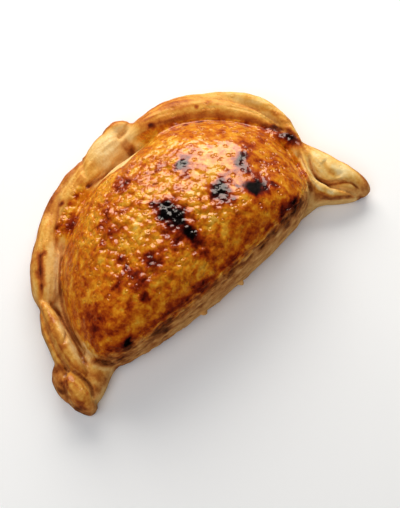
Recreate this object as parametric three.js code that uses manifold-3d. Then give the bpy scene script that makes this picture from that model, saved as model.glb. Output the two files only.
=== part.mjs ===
// A baked half-moon pastry, modelled whole at its real size in millimetres, +Z up.
// A plump filled body sits inside a thin seam, and the seam's edge is folded over onto itself in a run of
// uneven rolls that ends in two pinched tips. Everything is one piece of dough, so it is one solid.
// X runs from the left tip to the right tip, Y from the straight folded side to the rolled rim.
import * as THREE from "three";
import { mergeVertices } from "three/addons/utils/BufferGeometryUtils.js";
import Module from "manifold-3d";

const wasm = await Module();
wasm.setup();

// The rim is laid out in polar form: an angle from +X and a radius about this point, 10 mm behind the tips.
const RIM_CENTRE = new THREE.Vector2(0, 10);

// The filled body: a soft cushion whose outline is a round rim side, a nearly straight fold, two blunt ends.
const BODY = {
  crown: new THREE.Vector2(-1, 31), // where the top stands highest
  height: 36.6,
  waist: 9, // height of the widest line on the folded side
  valley: 6, // height at which the body meets the seam on the rim side
  rimArc: { centre: new THREE.Vector2(0.5, 10.5), radius: 60.6 },
  swell: { angle: 32, reach: 6.4, spread: 36 }, // the rim side bulges towards this angle
  foldArc: { centre: new THREE.Vector2(-8, 291.4), radius: 290 },
  ends: [{ angle: -20, distance: 46 }, { angle: 180, distance: 66 }], // straight cuts square to an angle
  cornerPower: 11, // how tightly the outline turns between its sides
};

// The flank of the body falls from the crown as a superellipse, round towards the rim and boxy over the fold.
const FLANK = { rim: { out: 1, fall: 1.16 }, fold: { out: 0.86, fall: 0.74 } };

// The seam: the flat double dough that runs round under the rolls.
const SEAM = {
  centre: new THREE.Vector2(0, 34),
  rimRadius: 69.5,
  foldCut: { angle: -90, distance: -8 },
  thickness: 5.5,
  edge: 2.5, // how far its edge draws in above and below
};

// Each roll of the rim runs from one angle to another. Its other sizes are lists spread evenly along it:
// radius from the rim's centre, half its width, and the height of its top.
const ROLLS = [
  { name: "left tip core", deg: [174, 187.5], radius: [48, 57, 65, 72], half: [8, 6.4, 6, 3.6],
    top: [13, 11, 9, 7] },
  { name: "left corner", deg: [169, 188.5], radius: [69, 71.3, 71.6, 72], half: [2, 4.4, 4.4, 3],
    top: [8, 9, 8, 6.6] },
  { name: "left thumb", deg: [174.8, 189.5], radius: [67.2, 69, 70.3, 71.4], half: [1.6, 3, 3.3, 2.6],
    top: [11, 12.6, 11.4, 8] },
  { name: "left inner twist", deg: [147, 184], radius: [69.2, 65.9, 63.9, 63.4, 65.5],
    half: [1, 2.4, 3.3, 3.1, 1.8], top: [11, 13.4, 13.6, 12.4, 9] },
  { name: "left outer twist", deg: [149, 178], radius: [69.4, 68.6, 68, 68.8], half: [1, 2.1, 2.3, 1.8],
    top: [10, 11.2, 11, 9] },
  { name: "left roll", deg: [116, 155], radius: [71.6, 69, 67.2, 66.8, 68], half: [1.2, 4.2, 6.3, 5.9, 2],
    top: [10, 12, 12.8, 12.2, 10] },
  { name: "rim cushion", deg: [68, 158], radius: [70.6, 69, 68, 67.6, 67.8], half: [4, 5.8, 6, 5, 2],
    top: [10.4, 10.6, 10.2, 9.8, 8] },
  { name: "left hem", deg: [91, 135], radius: [71.8, 72.4, 71.8, 71], half: [2, 2.3, 2.2, 2],
    top: [9.4, 9.8, 10, 9.8] },
  { name: "lower lobe", deg: [91, 119], radius: [68.6, 66.8, 66.2, 67.2], half: [4.8, 6.2, 5.6, 2.6],
    top: [11.8, 12, 11.2, 9.4] },
  { name: "upper lobe", deg: [80.5, 105], radius: [75.8, 70.7, 68, 68.2], half: [3, 6.5, 5.7, 4],
    top: [10.6, 13.2, 12.6, 10.6] },
  { name: "knuckle", deg: [89, 77], radius: [74.2, 75, 72.4], half: [2.6, 4, 2.8], top: [10.6, 12, 11.2] },
  { name: "top roll", deg: [88, 22], radius: [67.4, 68.4, 71.3, 71.4, 68.8, 66],
    half: [2.8, 7.4, 8.8, 7.8, 5.4, 2.8], top: [12, 14.8, 15, 14.6, 13.8, 11.2] },
  { name: "side strand", deg: [58, -9.5], radius: [79.2, 78, 77, 75.8, 72, 66, 60.6, 58.4, 64, 71.8],
    half: [1.5, 3, 3.8, 4, 3.8, 3.8, 3.5, 3, 3.1, 2.6],
    top: [11, 13.2, 14, 13.8, 13.4, 13, 12.8, 12.4, 11.4, 8.6] },
  { name: "right ear", deg: [20.5, -9.5], radius: [66.4, 64.4, 65.2, 69, 72.8], half: [2.4, 4.6, 6, 5.4, 4],
    top: [9, 11, 12, 10.8, 8.6] },
  { name: "right tip core", deg: [9, -8.5], radius: [46, 54.5, 62.5, 71], half: [8, 6.2, 4.4, 3.6],
    top: [13.5, 11, 9.4, 7.8] },
];

const BODY_ROWS = 32;
const BODY_COLUMNS = 84;
const BODY_TURN = 0.76; // share of the body's rows that lie above its widest line
const SEAM_ROWS = 10;
const SEAM_COLUMNS = 76;
const ROLL_STEP = 2.6; // mm along a roll between its rings
const ROLL_SIDES = 16;
const ROLL_WAIST = 4.5; // height at which a roll is widest, within the thickness of the seam
const BELOW_TRAY = 3; // how far the pieces reach below the tray before it trims them flat
const TRAY = { side: 400, depth: 60 };

const { degToRad, radToDeg, lerp, clamp, smoothstep } = THREE.MathUtils;
const UP = new THREE.Vector3(0, 0, 1);

// The value at t, from 0 to 1, of a smooth line through a list of evenly spaced values.
function along(values, t) {
  const last = values.length - 1;
  const place = clamp(t, 0, 1) * last;
  const i = Math.min(Math.floor(place), last - 1);
  const f = place - i;
  const [a, b, c, d] = [i - 1, i, i + 1, i + 2].map((k) => values[clamp(k, 0, last)]);
  const bend = 2 * a - 5 * b + 4 * c - d;
  const twist = 3 * b - a - 3 * c + d;
  return 0.5 * (2 * b + (c - a) * f + bend * f ** 2 + twist * f ** 3);
}

// The unit vector in the plan at an angle, in degrees.
function heading(degrees) {
  return new THREE.Vector2(Math.cos(degToRad(degrees)), Math.sin(degToRad(degrees)));
}

// How far a ray runs inside a circle, from a point in it.
function reachInCircle(from, direction, { centre, radius }) {
  const offset = from.clone().sub(centre);
  const b = offset.dot(direction);
  return -b + Math.sqrt(b * b - offset.lengthSq() + radius * radius);
}

// How far a ray runs before a straight cut, which lies square to an angle at a distance from the origin.
function reachToCut(from, direction, { angle, distance }) {
  const normal = heading(angle);
  const reach = (distance - from.dot(normal)) / direction.dot(normal);
  return reach > 0 ? reach : Infinity;
}

// The nearest of several reaches, with the corners between them rounded.
function softNearest(reaches) {
  return reaches.reduce((sum, reach) => sum + reach ** -BODY.cornerPower, 0) ** (-1 / BODY.cornerPower);
}

function bodyReach(direction) {
  const off = radToDeg(Math.atan2(direction.y, direction.x)) - BODY.swell.angle;
  const swell = BODY.swell.reach * Math.exp(-((off / BODY.swell.spread) ** 4));
  return softNearest([
    reachInCircle(BODY.crown, direction, BODY.rimArc) + swell,
    reachInCircle(BODY.crown, direction, BODY.foldArc),
    ...BODY.ends.map((end) => reachToCut(BODY.crown, direction, end)),
  ]);
}

function seamReach(direction) {
  return softNearest([
    reachInCircle(SEAM.centre, direction, { centre: RIM_CENTRE, radius: SEAM.rimRadius }),
    reachToCut(SEAM.centre, direction, SEAM.foldCut),
  ]);
}

// Low swells of the baked surface, in millimetres.
function unevenness(x, y) {
  return 0.45 * Math.sin(x / 7.3 + 1.3) * Math.cos(y / 6.1) + 0.3 * Math.sin(x / 3.9 - y / 4.7);
}

// A closed ball whose vertices are placed by the angle round it, in degrees, and the share of the way down.
function shapedBall(columns, rows, place) {
  const geometry = new THREE.SphereGeometry(1, columns, rows);
  const position = geometry.attributes.position;
  for (let i = 0; i < position.count; i++) {
    const row = Math.floor(i / (columns + 1));
    const atPole = row === 0 || row === rows;
    const column = atPole ? 0 : (i % (columns + 1)) % columns;
    const p = place((360 * column) / columns, row / rows);
    position.setXYZ(i, p.x, p.y, p.z);
  }
  return geometry;
}

// The body: its flank falls from the crown to the widest line, then tucks under to the tray.
function body() {
  return shapedBall(BODY_COLUMNS, BODY_ROWS, (angle, down) => {
    const direction = heading(angle);
    const foldSide = smoothstep(-direction.y, -0.1, 0.7);
    const waist = lerp(BODY.valley, BODY.waist, foldSide);
    const above = down < BODY_TURN;
    const q = (above ? down / BODY_TURN : (down - BODY_TURN) / (1 - BODY_TURN)) * (Math.PI / 2);
    const share = above ? Math.sin(q) ** lerp(FLANK.rim.out, FLANK.fold.out, foldSide) : Math.cos(q) ** 0.35;
    const offset = direction.clone().multiplyScalar(bodyReach(direction) * share);
    const rise = (BODY.height - waist) * Math.cos(q) ** lerp(FLANK.rim.fall, FLANK.fold.fall, foldSide);
    const z = above
      ? waist + rise + unevenness(offset.x, offset.y) * Math.cos(q)
      : waist - (waist + BELOW_TRAY) * Math.sin(q) ** 0.8;
    return new THREE.Vector3(BODY.crown.x + offset.x, BODY.crown.y + offset.y, z);
  });
}

// The seam: a flat plate with a round edge.
function seam() {
  return shapedBall(SEAM_COLUMNS, SEAM_ROWS, (angle, down) => {
    const direction = heading(angle);
    const q = down * Math.PI;
    const reach = seamReach(direction) * Math.min(1, 2.2 * Math.sin(q)) - SEAM.edge * (1 - Math.sin(q));
    const offset = direction.multiplyScalar(Math.max(reach, 0));
    const z = (down < 0.5 ? SEAM.thickness : -BELOW_TRAY) * Math.abs(Math.cos(q)) ** 0.4;
    return new THREE.Vector3(SEAM.centre.x + offset.x, SEAM.centre.y + offset.y, z);
  });
}

// A roll: a ball drawn out along its line, oval across, with blunt ends.
function roll({ deg, radius, half, top }) {
  const at = (t) => {
    const p = heading(lerp(deg[0], deg[1], t)).multiplyScalar(along(radius, t)).add(RIM_CENTRE);
    return new THREE.Vector3(p.x, p.y, ROLL_WAIST);
  };
  const length = new THREE.CatmullRomCurve3([0, 0.25, 0.5, 0.75, 1].map(at)).getLength();
  const rows = Math.max(10, Math.round(length / ROLL_STEP));
  return shapedBall(ROLL_SIDES, rows, (angle, t) => {
    const turn = heading(angle);
    const forward = at(Math.min(t + 0.01, 1)).sub(at(Math.max(t - 0.01, 0))).normalize();
    const across = new THREE.Vector3().crossVectors(forward, UP);
    const blunt = Math.sqrt(Math.max(0, 1 - (2 * t - 1) ** 6));
    const rise = turn.y > 0 ? along(top, t) - ROLL_WAIST : ROLL_WAIST + BELOW_TRAY;
    return at(t)
      .addScaledVector(across, turn.x * along(half, t) * blunt)
      .addScaledVector(UP, turn.y * rise * blunt);
  });
}

// The tray that the pastry is baked on, which trims everything below it to one flat face.
function tray() {
  return new THREE.BoxGeometry(TRAY.side, TRAY.side, TRAY.depth).translate(0, 0, -TRAY.depth / 2);
}

// A closed geometry as a solid that can be joined and cut.
function solid(geometry) {
  geometry.deleteAttribute("normal");
  geometry.deleteAttribute("uv");
  const merged = mergeVertices(geometry, 1e-4);
  const corners = merged.index.array;
  const triVerts = [];
  for (let i = 0; i < corners.length; i += 3) {
    const [a, b, c] = corners.slice(i, i + 3);
    if (a !== b && b !== c && a !== c) triVerts.push(a, b, c);
  }
  return new wasm.Manifold(new wasm.Mesh({
    numProp: 3,
    vertProperties: merged.attributes.position.array,
    triVerts: new Uint32Array(triVerts),
  }));
}

function geometryOf(manifold) {
  const mesh = manifold.getMesh();
  const geometry = new THREE.BufferGeometry();
  geometry.setAttribute("position", new THREE.BufferAttribute(mesh.vertProperties, 3));
  geometry.setIndex(new THREE.BufferAttribute(mesh.triVerts, 1));
  return geometry;
}

const dough = [body(), seam(), ...ROLLS.map(roll)]
  .map(solid)
  .reduce((whole, piece) => whole.add(piece))
  .subtract(solid(tray()));

// The frame's origin is under the middle of the pastry, on the tray.
const geometry = geometryOf(dough);
geometry.computeBoundingBox();
const centre = geometry.boundingBox.getCenter(new THREE.Vector3());
geometry.translate(-centre.x, -centre.y, 0);
geometry.computeVertexNormals();

const crust = new THREE.MeshStandardMaterial({ color: "#c0781f", roughness: 0.35, metalness: 0 });
const empanada = new THREE.Mesh(geometry, crust);
empanada.name = "empanada";

const pastry = new THREE.Group();
pastry.add(empanada);

export default pastry;
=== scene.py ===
"""The looks of one baked empanada: a plump half-moon of egg-washed dough with a rolled, twisted rim.

The dough is laid out in millimetres, in the plan that its maker would draw: X from the left tip to the
right tip, Y from the straight folded side to the rim, Z up from the tray. It becomes metres at the end.
"""

import math

import bmesh
import bpy
import numpy as np
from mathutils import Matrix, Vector, noise


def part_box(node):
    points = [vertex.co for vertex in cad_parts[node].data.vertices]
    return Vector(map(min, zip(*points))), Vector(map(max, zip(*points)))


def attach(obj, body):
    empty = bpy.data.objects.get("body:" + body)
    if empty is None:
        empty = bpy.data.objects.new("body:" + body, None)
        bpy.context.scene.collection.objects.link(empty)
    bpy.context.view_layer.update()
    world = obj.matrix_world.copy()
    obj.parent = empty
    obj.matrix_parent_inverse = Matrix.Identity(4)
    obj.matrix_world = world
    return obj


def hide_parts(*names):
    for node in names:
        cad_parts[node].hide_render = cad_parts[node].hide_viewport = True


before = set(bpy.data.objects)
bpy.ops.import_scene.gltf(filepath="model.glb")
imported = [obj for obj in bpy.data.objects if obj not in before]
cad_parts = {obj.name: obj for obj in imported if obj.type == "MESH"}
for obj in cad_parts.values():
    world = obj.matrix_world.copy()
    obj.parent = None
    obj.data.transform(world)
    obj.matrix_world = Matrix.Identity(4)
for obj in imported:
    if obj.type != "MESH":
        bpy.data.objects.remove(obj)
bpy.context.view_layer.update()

MM = 0.001

# -------------------- the dough's sizes, in mm and degrees

RIM_CENTRE = np.array((0.0, 10.0))  # the rim is laid out by an angle and a radius about this point

CROWN = np.array((-1.0, 31.0))  # where the filled body stands highest
CROWN_HEIGHT = 36.6
VALLEY_HEIGHT = 6.0  # where the body meets the seam on the rim side
FOLD_WAIST = 9.0  # height of the body's widest line on the folded side
RIM_ARC = {"centre": np.array((0.5, 10.5)), "radius": 60.6}
FOLD_ARC = {"centre": np.array((-8.0, 291.4)), "radius": 290.0}
SWELL = {"angle": 30.0, "reach": 5.0, "spread": 38.0}  # the rim side bulges towards this angle
BODY_ENDS = ({"angle": -20.0, "distance": 46.0}, {"angle": 180.0, "distance": 66.0})
CORNER_POWER = 11.0  # how tightly the body's outline turns between its sides
RIM_FLANK = {"out": 1.0, "fall": 1.16}  # the flank is round towards the rim
FOLD_FLANK = {"out": 0.86, "fall": 0.74}  # and boxy over the fold
TUCK_POWERS = {"inward": 0.35, "down": 0.8}  # how the flank turns under towards the tray
ROWS_ABOVE_WAIST = 0.76  # share of the body's rows of vertices that lie above its widest line
FOLD_SIDE = (-0.1, 0.7)  # how far a direction turns to the fold where the folded side begins, and is full
BROAD_SWELL = {"height": 0.45, "x": 7.3, "y": 6.1, "shift": 1.3}  # two waves that make the dome uneven
FINE_SWELL = {"height": 0.3, "x": 3.9, "y": 4.7}

SEAM_CENTRE = np.array((0.0, 34.0))
SEAM_RADIUS = 69.5
SEAM_CUT = {"angle": -90.0, "distance": -8.0}
SEAM_THICKNESS = 5.5
SEAM_EDGE = 2.5
SEAM_SPREAD = 2.2  # how soon below its top the seam reaches its full width
SEAM_FLATNESS = 0.4  # power that flattens its faces

# Each roll of the rim: the angles it runs between, then lists spread evenly along it of its radius from the
# rim's centre, half its width, and the height of its top.
ROLLS = {
    "left tip core": ((174, 187.5), (48, 57, 65, 72), (8, 6.4, 6, 3.6), (13, 11, 9, 7)),
    "left corner": ((169, 188.5), (69, 71.3, 71.6, 72), (2, 4.4, 4.4, 3), (8, 9, 8, 6.6)),
    "left thumb": ((174.6, 190), (67.8, 70, 70.6, 70.9), (2.4, 4.5, 4.6, 3.2), (11.6, 13.8, 13, 9)),
    "left inner twist": ((147, 184), (69.6, 66.2, 65, 64.6, 65.4), (1.6, 3.7, 4.3, 4, 2.6),
                         (11.4, 14.2, 14.8, 13.8, 10.6)),
    "left outer twist": ((149, 178), (69.6, 69.2, 69, 69.4), (1, 1.9, 2, 1.8), (10.4, 11.8, 11.6, 9.6)),
    "left roll": ((116, 155), (71.6, 69, 67.2, 66.8, 68), (1.2, 4.2, 6.3, 5.9, 2),
                  (10, 12, 12.8, 12.2, 10)),
    "rim cushion": ((68, 158), (70.6, 69, 68, 67.6, 67.8), (4, 5.8, 6, 5, 2), (10.4, 10.6, 10.2, 9.8, 8)),
    "left hem": ((91, 135), (71.8, 72.4, 71.8, 71), (2, 2.3, 2.2, 2), (9.4, 9.8, 10, 9.8)),
    "lower lobe": ((91, 119), (68.6, 66.8, 66.2, 67.2), (4.8, 6.2, 5.6, 2.6), (11.8, 12, 11.2, 9.4)),
    "upper lobe": ((80.5, 105), (75.8, 70.7, 68, 68.2), (3, 6.5, 5.7, 4), (10.6, 13.2, 12.6, 10.6)),
    "knuckle": ((89, 77), (74.2, 75, 72.4), (2.6, 4, 2.8), (10.6, 12, 11.2)),
    "top roll": ((88, 22), (67.4, 68.4, 71.3, 71.4, 68.8, 66), (2.8, 7.4, 8.8, 7.8, 5.4, 2.8),
                 (12, 14.8, 15, 14.6, 13.8, 11.2)),
    "side strand": ((58, -9.5), (79.2, 78, 77, 75.8, 72, 65.6, 59.4, 55, 57.8, 66.9),
                    (1.5, 3, 3.8, 4, 3.8, 3.4, 2.8, 2.7, 2.9, 2.6),
                    (11, 13.2, 14, 13.8, 13.6, 13.6, 14, 13.8, 12.8, 9.6)),
    "right ear": ((27, -9.5), (67.6, 63.8, 62.6, 64, 68.4, 72.6), (2.4, 5.2, 6.8, 7.4, 6, 4.2),
                  (10, 12.2, 13.2, 13.2, 11.4, 8.8)),
    "right tip core": ((9, -8.5), (46, 54.5, 62.5, 71), (8, 6.2, 4.4, 3.6), (12.2, 8.6, 6.6, 6.4)),
    "glaze under top roll": ((82, 10), (64, 63.6, 63.4, 63.2, 63.2, 64, 60.5),
                             (1.2, 2.4, 2.8, 2.8, 3, 3.4, 1.6), (10, 13, 13.8, 13.7, 13.4, 13, 10)),
    "glaze on left roll": ((102, 129), (64.6, 63.4, 62.6, 62), (1.6, 3, 3, 1.6), (8, 10.4, 10.4, 8)),
}
ROLL_WAIST = 4.5  # height at which a roll is widest
ROLL_BLUNTNESS = 6  # power that makes a roll's ends blunt
BELOW_TRAY = 3.0  # how far the forms reach below the tray before it trims them flat

# Furrows where one strand of the rim lies against the next: the angles they run between, a list of their
# radius, how deep they are, and half their width.
FURROWS = {
    "ear over strand": ((14, -8.5), (62.8, 59.6, 58.2, 60.2, 67.2, 69.6), 1.5, 0.75),
    "strand over body": ((18, 1), (61.2, 57.4, 55, 53.6, 52.8), 1.6, 1.1),
    "ear hollow": ((8, -1), (64.6, 62.6, 65.4), 0.9, 1.6),
    "twist": ((150, 177), (70.2, 69.4, 69, 68.6, 68.4), 1.1, 0.7),
    "twist over valley": ((149, 178), (65.2, 62.6, 61.4, 60.8, 60.6, 61.2), 1.7, 0.8),
    "twist knuckle": ((162, 168), (61, 62.4, 64.6), 0.8, 0.7),
    "beside thumb": ((175.5, 188), (67.2, 65.4, 65.2, 67.4), 1, 0.7),
    "outside thumb": ((174.5, 185), (69, 74, 76), 1, 0.7),
    "lobe crease": ((97, 103), (74.6, 70, 66), 0.5, 1),
    "cream crease": ((106, 90), (63, 62.2, 61.8, 62.2), 1.6, 0.9),
    "knuckle": ((85, 76), (70.4, 72.4, 77), 0.6, 0.8),
    "overlap": ((112, 133), (70.4, 67.4, 64.8, 62.6), 0.8, 0.8),
    "valley": ((129, 172), (61, 60.9, 61, 60.2, 58.8), 2.2, 0.8),
    "top streak": ((58, 26), (75.5, 74.6, 72.4, 69), 0.5, 0.5),
    "inner streak": ((48, 22), (71, 70, 66.8), 0.45, 0.5),
    "outer streak": ((80, 50), (77.6, 78.2, 77.4), 0.4, 0.5),
    "left streak": ((152, 128), (67.4, 68.4, 70), 0.4, 0.5),
}

FURROW_FADE = 0.12  # share of a furrow over which it fades out at each end

# The lower edge of the side strand, and how much further out it lies for each mm below this height.
STRAND_EDGE = {"deg": (10, -10), "radius": (55.1, 53.8, 54.3, 57.4, 64.7), "height": 12, "lean": 0.8,
               "soft": 0.8}

# Crumbs of dough baked onto the folded side: place and radius.
CRUMBS = (((-13.0, 1.3, 8.5), 1.5), ((6.0, 1.2, 8.0), 1.2))
CRUMB_ROUGHNESS = {"share": 0.35, "size": 0.8}  # both as shares of the radius

# Where the relaxed creases of the rim lie, and how often they are smoothed.
RELAXED = (
    {"deg": (84, 121), "radius": (60, math.inf), "times": 22},  # the two broad lobes that lie on each other
    {"deg": (30, 64), "radius": (68, math.inf), "times": 14},  # the side strand on the top roll
    {"deg": (20, 84), "radius": (60, 69), "times": 24},  # the film of glaze below the top roll
)
RELAXED_ALL = 4  # how often the whole skin is smoothed before that

# -------------------- what counts as what on the skin, in mm

BODY_SKIN = (1.6, 2.8)  # up to this near the body's own form is body, and from this on it isn't
FOLDED_FLANK = {"x": (-56, 50, 3), "y": (6, 12), "z": 1}  # below the fold's waist all of the flank is body
RIM_FROM = {"height": (5.6, 7.6), "radius": (66, 69)}  # what isn't body is rim from here on
HOLLOWS_FROM = {"rim": 10.0, "fold": 8.0, "soft": 5.0}  # how far within the outline the underside is hollow

# -------------------- how it was baked, and the shade and light painted on it

# How far out the egg wash was brushed, as a share of the body's reach, every 15 degrees round the crown.
WASH_EDGE = (1.3, 1.3, 1.3, 1.2, 1.05, 0.93, 0.86, 0.95, 1.02, 1.01, 1.0, 1.0,
             1.0, 0.98, 0.95, 0.935, 0.925, 0.92, 0.915, 0.91, 0.905, 0.905, 0.92, 0.99)
WASH_RAGGED = {"everywhere": 0.012, "at the fold": 0.03, "size": 2.4}

# Where the oven scorched the crust, with two spots of painted shade on the rim: x, y, half length, half
# width, turn in degrees, and how dark. The spared spots stayed lighter than the crust round them.
SCORCHES_AND_SHADE = {
    "char": (
        (-3.2, 31.6, 5.8, 3.4, -82, 0.31), (18.6, 29, 4.8, 3.2, 50, 0.42),
        (33.6, 34.8, 3.4, 1.8, 20, 0.34), (28.6, 21.4, 5, 3.2, -50, 0.44),
        (14.4, 46, 3.8, 3.2, 0, 0.34), (38.6, 9, 5, 1.5, 14, 0.22),
        (60.8, 35, 5, 2, -72, 0.1), (-45, 6.6, 2.4, 1.1, 0, 0.4),
    ),
    "halo": (
        (-3, 29.2, 9.4, 6.2, -82, 0.34), (-1.4, 17.6, 5.4, 3, -85, 0.22),
        (34, 34.8, 5, 4.4, 20, 0.2), (30.8, 22.2, 6.6, 5.6, -50, 0.26),
        (17.4, 27, 6.4, 5, 50, 0.24), (37, 8.6, 8.5, 2.6, 12, 0.26),
        (60.4, 33.2, 9.5, 3.2, -76, 0.3), (14.6, 45.6, 6.4, 5, 0, 0.2),
        (28, 31, 5, 4, 0, 0.16), (58.6, 42.6, 4.5, 1.4, -52, 0.24),
        (-3.6, 13.6, 2.6, 1.8, -60, 0.2), (22, 78.2, 6, 2.4, -16, 0.14),
        (33.5, 73, 5, 2, -30, 0.1), (-71, 19.4, 4.2, 2.4, -70, 0.18),
        (-74, 0.5, 3.4, 2.4, -40, 0.2), (-58.5, 4.5, 5, 2.6, -30, 0.12),
        (-1, 52, 7, 6, 0, 0.12), (8.6, 66, 4, 2.4, -30, 0.14),
    ),
    "patch": (
        (-20.2, 21.6, 5, 3.8, 30, 0.18), (-53.5, 9, 4.5, 2.4, -20, 0.2),
        (-10.8, 24, 2.4, 3, 0, 0.16), (-22, 23.4, 3.4, 3, 0, 0.14),
        (-30.2, 20.9, 5.4, 4.6, -60, 0.26), (-38.5, 23.5, 3.4, 2.6, 20, 0.18),
        (-31.7, 13.7, 2.1, 1.9, 0, 0.3), (-37, 14.6, 2.4, 2, 50, 0.26),
        (-49.6, 22.4, 6, 4, 40, 0.18), (-28, 31, 2, 1.8, 0, 0.14),
        (-29.4, 26.4, 2.2, 2, 0, 0.2), (-46, 6.4, 6.5, 2, 0, 0.24),
        (-26, 4.6, 14, 1.9, 2, 0.24), (-8, 4.6, 6.5, 1.9, 0, 0.24),
        (-8.3, 57.4, 4.8, 3.6, 40, 0.3), (-24.4, 46.9, 9.5, 4.2, 52, 0.22),
        (-14, 45.3, 2, 1.8, 0, 0.16), (37.2, 18.3, 2.4, 2, 0, 0.2),
        (15.7, 7.9, 4, 2.4, 0, 0.2), (14.6, 14.5, 4.4, 3, 0, 0.1),
        (4.4, 5, 6, 1.9, 2, 0.22), (-52.6, 16.1, 5, 3.6, 30, 0.16),
        (22, 5.6, 7, 1.6, 6, 0.14), (6, 52, 4, 1.6, 40, 0.1),
        (40, 40, 5, 2.4, -60, 0.12),
    ),
    "spared": (
        (26.3, 12.2, 4, 3, 0, -0.12), (-30, 36.2, 4.5, 3, 0, -0.12),
        (5.6, 22.4, 3.4, 2.6, 0, -0.1),
    ),
    "rim": (
        (-28.4, 72, 1.4, 1.1, 0, 0.4), (-30, 61, 6, 1.3, 33, 0.22),
        (-52.6, 52.8, 7, 1.7, 57, 0.34), (-56.4, 48.4, 3, 1.3, 58, 0.24),
        (19.6, 74.7, 1.6, 1.3, 0, 0.36), (39.3, 69.2, 0.9, 0.8, 0, 0.34),
        # The second spot below is painted shade under the start of the top roll.
        (-31.6, 62.6, 6.5, 1.6, 36, 0.16), (7.8, 75.2, 3.2, 1.7, -65, 0.3),
        (-73, 2.4, 2.6, 1.6, -40, 0.2), (-73.6, 14.4, 4.4, 2.2, -75, 0.26),
        (-56.6, 9.4, 5, 1, -50, 0.2), (-47, 58.6, 1.6, 1, 0, 0.3),
        # The second spot below is painted shade in the crease between the top roll's left end and the body.
        (-22, 70.5, 1.2, 0.9, 20, 0.28), (9.5, 73.8, 3.4, 1, 35, 0.12),
        (36.6, 63.6, 1.4, 0.7, -30, 0.34), (31, 66.2, 1.2, 0.6, -30, 0.3),
    ),
}
SPOT_EDGE = (0.3, 1.5)  # in half lengths and half widths: solid up to the first, gone at the second
PATCH_LIMIT = 0.3  # patches that overlap don't add up to more than this
DARKEST = {"crust": 0.74, "char": 1.2}  # browned at most this far before the scorches, and in all

# Level of bake before the scorches, from 0 for raw dough to 1 for char.
BAKED = {"washed": 0.49, "bare flank": 0.16, "rim": 0.28, "fold": 0.31, "film": 0.46, "underside": 0.42}

# What bakes browner than the crust round it, and how much: below 0, paler. Painted shade, not browning: the
# furrows, the pits at the fold, and what is sunk in the rim, in the shelter and in the film. Painted light:
# what is raised in the shelter.
BROWNING_AND_PAINTED_SHADING = {
    "band at the fold": 0.27, "its pits": 0.3, "below the fold": -0.08, "end by the fold": 0.05,
    "end by the top roll": -0.07, "smoothed": -0.06, "blistered": -0.05,
    "proud on the rim": 0.14, "sunk in the rim": 0.12, "streaks": 0.14, "patches on the rim": 0.9,
    "sunk in shelter": 0.2, "raised in shelter": -0.1, "furrows": 0.14,
    "sunk in the film": 0.22, "patches in the film": 1.2, "spots in the film": 1.5, "patches below": 2,
}
SUNK_FULL = 0.8  # mm below or above the smoothed skin where a crease or a ridge counts in full
DEEPEST_SHADE = 1.5  # mm of furrow depth beyond which the painted shade in a furrow grows no darker
SHELTER = {"share": 0.85, "raised": (7, 10)}  # how pale the pale dough is, and the heights over which painted light makes it paler still
FOLD_ROUND = (4, 14)  # heights between which the flank at the fold bakes paler towards the tray
WASHED_ENDS = {"fold": (8, 18), "top roll": {"x": (6, 18), "y": (50, 64)}}  # where the dome's bake changes

# Parts of the rim: each lies between two angles and two radii, or heights, and the third number says over
# how many degrees or mm to either side it fades. The amount is how much of it there is.
PALE = (  # stayed pale in the shelter of the body
    {"deg": (79, 96, 3), "radius": (0, 75, 2), "amount": 1.0},  # the lobe at the top left
    {"deg": (127, 176, 4), "radius": (0, 63.75, 1.25), "amount": 1.0},  # the left valley
    {"deg": (128, 150, 4), "radius": (0, 66.75, 1.25), "amount": 0.6},  # the inner side of the left roll
)
FILM = (  # the egg wash ran down between body and rim and baked on as a shining film
    {"deg": (104, 127, 3), "radius": (59, 66.4, 1.2), "amount": 1.0},
    {"deg": (19, 80, 4), "radius": (61.6, 66.4, 0.8), "amount": 1.0},
)
RIM_BROWNING_AND_PAINTED_SHADING = (
    {"deg": (88, 160, 6), "radius": (72.5, 100, 2.5), "amount": 0.2},  # the outer wall on the left
    {"deg": (62, 88, 6), "radius": (73.5, 100, 2.5), "amount": 0.16},  # and at the top
    {"deg": (32, 75, 4), "radius": (62, 68.4, 1.2), "amount": 0.22},  # painted shade on the inner side of the top roll
    {"deg": (33, 48, 4), "radius": (74.25, 100, 1.25), "amount": -0.12},  # the pale edge of the side strand
    {"deg": (150, 195, 4), "amount": 0.05},  # the left tip
    {"deg": (-12, 20, 4), "height": (9.8, 100, 1.2), "amount": -0.18},  # painted light on the tops of the right tip
)
UNDER_STRAND = {"deg": (-12, 6, 3), "radius": (53.5, 100, 1.5), "amount": 0.26}  # painted shade below the side strand
RIM_SHINE = {"everywhere": 0.14, "film": 0.95}  # how much of the egg wash shines there
TIP_SHINE = {"deg": (150, 190, 4), "amount": 0.4}
RIM_WASH = {"share": 0.5, "height": (6.5, 11), "sunk": 0.6}  # egg wash that touched the tops of the rolls

# Where the glaze blistered in the heat: beads round a smoother middle.
BLISTERED = {"centre": (-7.0, 36.0), "full": 21.0, "none": 44.0, "elsewhere": 0.15, "film": 0.8}
SMOOTHED = {"centre": (24.0, 38.0), "full": 11.0, "none": 20.0, "share": 0.6}

# Where the glaze itself burnt away.
BURNT_DRY = {"centre": (28.8, 21.4), "full": 3.0, "none": 6.0}

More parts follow.
